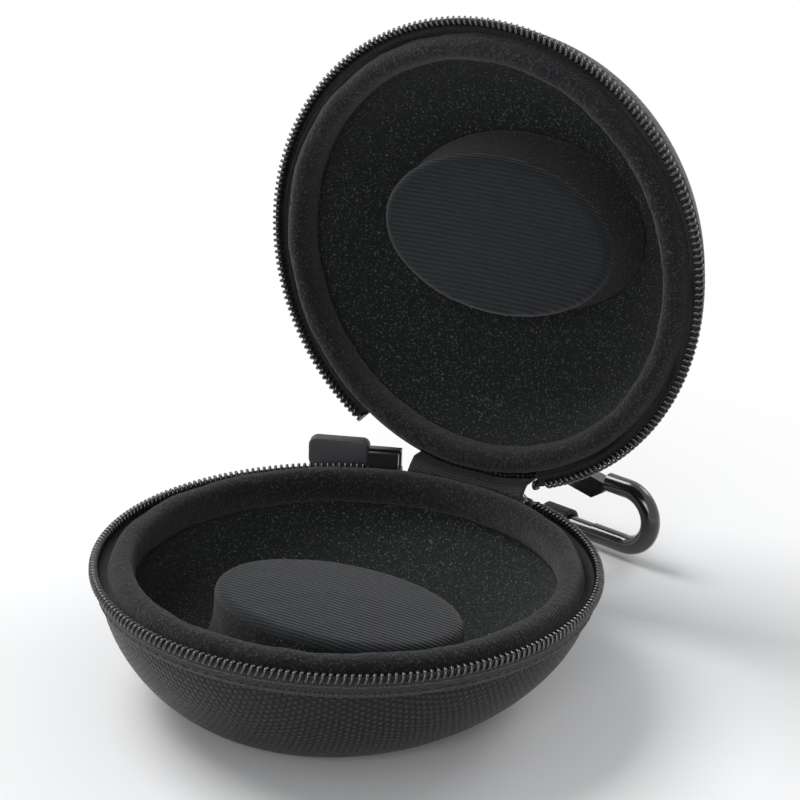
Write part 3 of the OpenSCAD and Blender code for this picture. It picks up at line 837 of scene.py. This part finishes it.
class CASE_OT_zip(bpy.types.Operator):
    """Build the tapes, coils, edge cords and stitches of the zip, and paint its end stops"""

    bl_idname = "case.zip"
    bl_label = "Zip rows"

    def execute(self, context):
        size, zip_size = context.scene.case_sizes, context.scene.case_zip
        middle = size.ring_radius - zip_size.depth / 2
        thin = zip_size.tape / 2
        lap = size.skin_radius + TAPE_LAP_GAP
        foot = zip_size.row_gap / 2 + zip_size.row_height
        edge = -zip_size.row_gap / 2 - 2 * zip_size.wire - 0.15 * MM
        rim = -size.skin_edge
        tape_profile = [
            (middle - thin, edge), (middle + thin, edge), (middle + thin, -foot - 0.4 * MM),
            (middle + 0.1 * thin, -foot - 0.9 * MM), (lap + zip_size.tape, rim - 0.7 * MM),
            (lap + 0.9 * zip_size.tape, rim - 2 * MM), (lap + 0.1 * zip_size.tape, rim - 2.1 * MM),
            (lap, rim - 0.4 * MM), (middle - 2.2 * MM, rim - 0.15 * MM), (middle - 3.4 * MM, rim - 0.3 * MM),
            (middle - 3.4 * MM, rim + 0.1 * MM), (middle - 2.2 * MM, rim + 0.2 * MM),
            (middle - thin, -foot - 0.6 * MM)]
        steps = 320
        for half in HALVES:
            start, end = row_ends(half)
            points, faces = swept(tape_profile, start, end, steps)
            half_piece(half, "tape", points, faces, finish("tape"), ["zip_tape"])
            path, radii = coil_path(half)
            points, faces = tube(path, radii, 8)
            half_piece(half, "coil", points, faces, finish("coil"), ["zip_coil"])
            turns = np.linspace(start, end, 900)
            radius = lap + 1.25 * MM
            twist = 0.05 * MM * np.sin(turns * radius / (0.5 * MM))
            points, faces = tube(polar(radius, turns, -foot - 0.75 * MM + twist), 0.2 * MM, 6)
            half_piece(half, "edge_cord", points, faces, finish("thread"))
            dress_node(f"{half}_end_stops", finish("metal"))
            self.stitches(half, start, end, lap + zip_size.tape, -size.skin_edge - 1.35 * MM)
        return {"FINISHED"}

    def stitches(self, half, start, end, radius, height):
        """A row of stitches that sews the tape to the cloth."""
        stitch, gap = 2.1 * MM / radius, 0.7 * MM / radius
        parts = []
        at = start + 2 * gap
        while at + stitch < end:
            turns = np.linspace(at, at + stitch, 7)
            lift = radius - 0.12 * MM + 0.2 * MM * np.sin(np.linspace(0, math.pi, 7))
            parts.append(tube(polar(lift, turns, height), 0.14 * MM, 6))
            at += stitch + gap
        points, faces = together(parts)
        half_piece(half, "stitches", points, faces, finish("thread"))


# ---- the slider and its tab -------------------------------------------------------

def rounded_outline(width, height, corners, steps=8):
    """A rectangle's outline with a radius at each corner: start low, end low, end high, start high."""
    outline = []
    spots = [(0, -height / 2, 1, 1, math.pi), (width, -height / 2, -1, 1, 1.5 * math.pi),
             (width, height / 2, -1, -1, 0), (0, height / 2, 1, -1, 0.5 * math.pi)]
    for (x, z, sx, sz, turn), r in zip(spots, corners):
        for i in range(steps + 1):
            t = turn + i / steps * math.pi / 2
            outline.append((x + sx * r + r * math.cos(t), z + sz * r + r * math.sin(t)))
    return outline


def slab(outline, low, high, round_edge, steps=4):
    """A slab with rounded edges: rows of its outline, drawn in towards the middle near its faces."""
    line = np.array(outline)
    centre = line.mean(0)
    rows = []
    turns = [i / steps * math.pi / 2 for i in range(steps + 1)]
    profile = [(round_edge * (1 - math.sin(t)), low + round_edge * (1 - math.cos(t))) for t in turns]
    profile += [(inset, high + low - depth) for inset, depth in reversed(profile)]
    for inset, depth in profile:
        reach = np.linalg.norm(line - centre, axis=1)[:, None]
        ring = centre + (line - centre) * (1 - inset / reach)
        rows.append(np.column_stack([ring, np.full(len(ring), depth)]))
    return np.concatenate(rows), capped(len(rows), len(line))


def slider_frame(points):
    """Moves points given along the zip, up, and outwards from the tab's eye, to their place."""
    out = Vector((math.cos(SLIDER_ANGLE), math.sin(SLIDER_ANGLE), 0))
    along = Vector((-math.sin(SLIDER_ANGLE), math.cos(SLIDER_ANGLE), 0))
    p = np.asarray(points, float)
    return (np.array(TAB_EYE) + p[:, :1] * np.array(along) + p[:, 1:2] * np.array([0, 0, 1.0])
            + p[:, 2:] * np.array(out))


class CASE_OT_slider(bpy.types.Operator):
    """Give the slider its painted metal and the bridge its worn metal"""

    bl_idname = "case.slider"
    bl_label = "Slider"

    def execute(self, context):
        dress_node("zip_slider", finish("metal"))
        dress_node("slider_bridge", finish("bare_metal"))
        return {"FINISHED"}


class CASE_OT_tab(bpy.types.Operator):
    """Build the moulded pull tab"""

    bl_idname = "case.tab"
    bl_label = "Pull tab"

    def execute(self, context):
        zip_size = context.scene.case_zip
        length_, tall, thick = zip_size.tab_length, zip_size.tab_height, zip_size.tab_thickness
        outline = rounded_outline(length_, tall, (2.6 * MM, 3.4 * MM, 2.2 * MM, 1.8 * MM))
        grip_points, grip_faces = slab(outline, -thick / 2, thick / 2, 0.55 * MM)
        grip_points = grip_points + [zip_size.tab_neck, 0, 0]
        parts = [(slider_frame(grip_points), grip_faces)]
        reach = zip_size.tab_neck + 1.2 * MM
        arm = 0.4 * MM
        for side in (-1, 1):
            arm_line = rounded_outline(reach, 1.5 * MM, (0.4 * MM,) * 4, 4)
            points, faces = slab(arm_line, -arm, arm, 0.15 * MM, 2)
            turned = points[:, [0, 2, 1]] + [-0.4 * MM, side * 1.7 * MM, 0]
            parts.append((slider_frame(turned), [tuple(reversed(f)) for f in faces]))
        bar = slider_frame([(0, z, 0) for z in np.linspace(-2.1 * MM, 2.1 * MM, 8)])
        parts.append(tube(bar, 0.74 * MM, 20))
        points, faces = together(parts)
        make_piece("tab_grip", points, faces, "tab", finish("tab"), ["pull_tab"])
        return {"FINISHED"}


# ---- the hinge and the loop ----------------------------------------------------------

class CASE_OT_hinge(bpy.types.Operator):
    """Build the one strip of cloth that joins the halves"""

    bl_idname = "case.hinge"
    bl_label = "Hinge cloth"

    def execute(self, context):
        size, zip_size = context.scene.case_sizes, context.scene.case_zip
        columns = 41
        half_length = zip_size.hinge_length / 2
        back = HINGE.y - 0.15 * MM
        leaf_top, leaf_foot = 1.3 * MM, 8 * MM
        mid = zip_size.hinge_thickness / 2
        grid_points = []
        for x in np.linspace(-half_length, half_length, columns):
            y = min(math.sqrt((size.skin_radius + TAPE_LAP_GAP) ** 2 - x * x), back) + mid
            lower = seat([(x, y, z) for z in np.linspace(-leaf_foot, -leaf_top, 12)], "base")
            upper = seat([(x, y, z) for z in np.linspace(-leaf_top, -leaf_foot, 12)], "lid")
            bend = smooth_path([lower[-3], lower[-1], upper[0], upper[2]], 12)[12:24]
            grid_points.append(np.vstack([lower, bend[1:], upper]))
        rows = len(grid_points[0])
        points = np.concatenate(grid_points)
        faces = grid(columns, rows, around=False)
        piece = make_piece("hinge_cloth", points, faces, None, finish("webbing"),
                           ["hinge_leaf_base", "hinge_leaf_lid", "hinge_fold"])
        solid = piece.modifiers.new("Thickness", "SOLIDIFY")
        solid.thickness = zip_size.hinge_thickness
        solid.offset = 0
        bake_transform(piece)
        return {"FINISHED"}


def clip_frame(points):
    """Moves points given along the spine, backwards, and up, to their place."""
    back = np.cross([0, 0, 1.0], np.array(SPINE_WAY))
    p = np.asarray(points, float)
    return (np.array(SPINE_START) + p[:, :1] * np.array(SPINE_WAY) + p[:, 1:2] * back
            + p[:, 2:] * np.array([0, 0, 1.0]))


class CASE_OT_loop(bpy.types.Operator):
    """Build the webbing loop that holds the clip"""

    bl_idname = "case.loop"
    bl_label = "Webbing loop"

    def execute(self, context):
        clip = context.scene.case_clip
        inner = clip.thin_rod + 0.3 * MM
        t = clip.webbing_thickness
        eye = SPINE_START + SPINE_WAY * clip.webbing_place
        run = (eye.y - HINGE.y) / SPINE_WAY.x
        rise = math.atan2(clip.strap_height - SPINE_START.z, run)
        reach = run / math.cos(rise) + 1.5 * MM
        turns = np.linspace(math.radians(-145), math.radians(145), 26)
        lower = [(-reach * part, -t / 2) for part in np.linspace(1, 0.12, 14)]
        line = lower + [((inner + t / 2) * math.cos(a), (inner + t / 2) * math.sin(a)) for a in turns]
        line += [(y, -z) for y, z in reversed(lower)]
        line = smooth_path([(y, z, 0) for y, z in line], 3)[:, :2]
        turned = [[math.cos(rise), -math.sin(rise)], [math.sin(rise), math.cos(rise)]]
        line = line @ np.array(turned)
        ahead = np.gradient(line, axis=0)
        ahead /= np.linalg.norm(ahead, axis=1)[:, None]
        normal = np.stack([ahead[:, 1], -ahead[:, 0]], -1)
        n = 13
        across = np.linspace(-0.5, 0.5, n)
        rows = []
        for (y, z), (ny, nz) in zip(line, normal):
            front = [(clip.webbing_place + c * clip.webbing_width, y + ny * t / 2, z + nz * t / 2)
                     for c in across]
            rear = [(x, y - ny * t / 2, z - nz * t / 2) for x, _, _ in reversed(front)]
            rows.append(front + rear)
        points = clip_frame(np.array(rows).reshape(-1, 3))
        points[:, 1] = np.maximum(points[:, 1], HINGE.y + 0.05 * MM)
        middle = eye.x - run * -SPINE_WAY.y
        points, faces = together([(points, capped(len(rows), 2 * n)), self.tail(clip, middle)])
        make_piece("webbing_loop", points, faces, "base", finish("webbing"), ["hang_loop"])
        return {"FINISHED"}

    def tail(self, clip, middle):
        """The end of the webbing that is sewn flat to the case, under the hinge."""
        tall = clip.tail_top - clip.tail_foot
        outline = rounded_outline(clip.webbing_width, tall, (0.5 * MM,) * 4, 3)
        half = clip.webbing_thickness / 2
        flat, faces = slab(outline, -half, half, 0.25 * MM, 3)
        place = [middle - clip.webbing_width / 2, HINGE.y + half, (clip.tail_top + clip.tail_foot) / 2]
        return flat[:, [0, 2, 1]] + place, [tuple(reversed(f)) for f in faces]


# ---- the clip -------------------------------------------------------------------------

class CASE_OT_clip(bpy.types.Operator):
    """Give the carabiner, its gate, pin and spring their finishes"""

    bl_idname = "case.clip"
    bl_label = "Carabiner"

    def execute(self, context):
        dress_node("carabiner_body", finish("clip"))
        dress_node("carabiner_gate", finish("clip"))
        dress_node("gate_pin", finish("steel"))
        dress_node("gate_spring", finish("steel"))
        return {"FINISHED"}


# ---- the stage ----------------------------------------------------------------------

FLOOR_REACH = 6.0
FLOOR_FADE = (0.1, 0.27)    # the floor starts to fade and is all white at these distances, in metres


def ray_mask(tree, *kinds):
    """1 for rays of these kinds and 0 for others."""
    path = tree.nodes.new("ShaderNodeLightPath")
    seen = path.outputs[kinds[0]]
    for kind in kinds[1:]:
        seen = calc(tree, "ADD", seen, path.outputs[kind], clamp=True)
    return seen


def end_in_mix(tree, factor, first, second, output):
    """Ends a tree in a mix of two shaders."""
    blend = tree.nodes.new("ShaderNodeMixShader")
    for socket, value in zip(blend.inputs, (factor, first.outputs[0], second.outputs[0])):
        tree.links.new(value, socket)
    tree.links.new(blend.outputs[0], tree.nodes[output].inputs["Surface"])


class CASE_OT_stage(bpy.types.Operator):
    """Build the floor, the lights and the camera"""

    bl_idname = "case.stage"
    bl_label = "Stage"

    def execute(self, context):
        scene = context.scene
        scene.view_settings.view_transform = "Standard"
        self.floor()
        self.world(scene)
        self.lamp("key_light", (-0.6, 0.0, 0.9), 0.6, 8.5)
        self.lamp("fill_light", (0.3, -1.0, 0.45), 0.5, 3.6)
        self.lamp("rim_light", (0.35, 0.85, 0.75), 0.5, 2.6)
        self.camera(scene)
        return {"FINISHED"}

    def floor(self):
        """A pale floor that fades into the white background away from the case."""
        mesh = bpy.data.meshes.new("floor")
        corners = [(x * FLOOR_REACH, y * FLOOR_REACH, 0) for x, y in ((-1, -1), (1, -1), (1, 1), (-1, 1))]
        mesh.from_pydata(corners, [], [(0, 1, 2, 3)])
        floor = bpy.data.objects.new("floor", mesh)
        bpy.context.scene.collection.objects.link(floor)
        material, tree, shader = new_material("Floor", Roughness=0.7, Specular_IOR_Level=0.15)
        shader.inputs["Base Color"].default_value = (*colour_of("floor"), 1)
        glow = tree.nodes.new("ShaderNodeEmission")
        glow.inputs["Color"].default_value = (1, 1, 1, 1)
        spot = tree.nodes.new("ShaderNodeVectorMath")
        spot.operation = "LENGTH"
        tree.links.new(where(tree), spot.inputs[0])
        far = step_up(tree, spot.outputs["Value"], *FLOOR_FADE)
        seen = ray_mask(tree, "Is Camera Ray", "Is Glossy Ray")
        end_in_mix(tree, calc(tree, "MULTIPLY", far, seen), shader, glow, "Material Output")
        mesh.materials.append(material)

    def world(self, scene):
        """Soft light from all round, and a white background."""
        world = bpy.data.worlds.new("Studio")
        scene.world = world
        world.use_nodes = True
        tree = world.node_tree
        soft = tree.nodes["Background"]
        soft.inputs["Color"].default_value = (0.96, 0.98, 1, 1)
        soft.inputs["Strength"].default_value = 0.36
        white = tree.nodes.new("ShaderNodeBackground")
        white.inputs["Strength"].default_value = 1.0
        seen = ray_mask(tree, "Is Camera Ray", "Is Glossy Ray", "Is Transmission Ray")
        end_in_mix(tree, seen, soft, white, "World Output")

    def lamp(self, name, place, size, power):
        """A square lamp that looks at the case."""
        light = bpy.data.lights.new(name, "AREA")
        light.size = size
        light.energy = power
        lamp = bpy.data.objects.new(name, light)
        lamp.location = place
        aim = Vector((0, 0.03, 0.06)) - Vector(place)
        lamp.rotation_euler = aim.to_track_quat("-Z", "Y").to_euler()
        bpy.context.scene.collection.objects.link(lamp)

    def camera(self, scene):
        """The photograph's viewpoint: heading, dip, tilt and distance, as fitted to both rims."""
        heading, dip, tilt = math.radians(30), math.radians(20.5), math.radians(1.79)
        distance, aside, above = 520 * MM, 12 * MM, 35.5 * MM
        focal_pixels, image = 2278.0, 800.0
        level_share = math.cos(dip)
        ahead = Vector((-math.sin(heading) * level_share, math.cos(heading) * level_share, -math.sin(dip)))
        level = Vector((math.cos(heading), math.sin(heading), 0))
        upright = level.cross(ahead)
        right = level * math.cos(tilt) + upright * math.sin(tilt)
        up = upright * math.cos(tilt) - level * math.sin(tilt)
        place = Vector((0, 0, HINGE.z)) - ahead * distance + right * aside + up * above
        data = bpy.data.cameras.new("camera")
        data.sensor_width = 36
        data.lens = focal_pixels / image * data.sensor_width
        data.clip_start, data.clip_end = 0.01, 20
        camera = bpy.data.objects.new("camera", data)
        turn = Matrix((right, up, -ahead)).transposed()
        camera.matrix_world = Matrix.Translation(place) @ turn.to_4x4()
        scene.collection.objects.link(camera)
        scene.camera = camera


OPERATORS = (CASE_OT_stage, CASE_OT_skins, CASE_OT_linings, CASE_OT_rolls, CASE_OT_pads, CASE_OT_zip,
             CASE_OT_slider, CASE_OT_tab, CASE_OT_hinge, CASE_OT_loop, CASE_OT_clip)


class CASE_PT_panel(bpy.types.Panel):
    """The case's pieces, sizes and colours"""

    bl_label = "Travel case"
    bl_idname = "CASE_PT_panel"
    bl_space_type = "VIEW_3D"
    bl_region_type = "UI"
    bl_category = "Case"

    def draw(self, context):
        for operator in OPERATORS:
            self.layout.operator(operator.bl_idname)
        for group in GROUPS:
            settings = getattr(context.scene, group)
            box = self.layout.box()
            for name in settings.bl_rna.properties.keys():
                if name not in ("rna_type", "name"):
                    box.prop(settings, name)


CLASSES = (*GROUPS.values(), *OPERATORS, CASE_PT_panel)


def register():
    for cls in CLASSES:
        bpy.utils.register_class(cls)
    for name, group in GROUPS.items():
        setattr(bpy.types.Scene, name, bpy.props.PointerProperty(type=group))


def unregister():
    for name in GROUPS:
        delattr(bpy.types.Scene, name)
    for cls in reversed(CLASSES):
        bpy.utils.unregister_class(cls)


def main():
    """Builds every piece in order."""
    register()
    for operator in OPERATORS:
        group, name = operator.bl_idname.split(".")
        getattr(getattr(bpy.ops, group), name)()


if __name__ == "__main__":
    main()
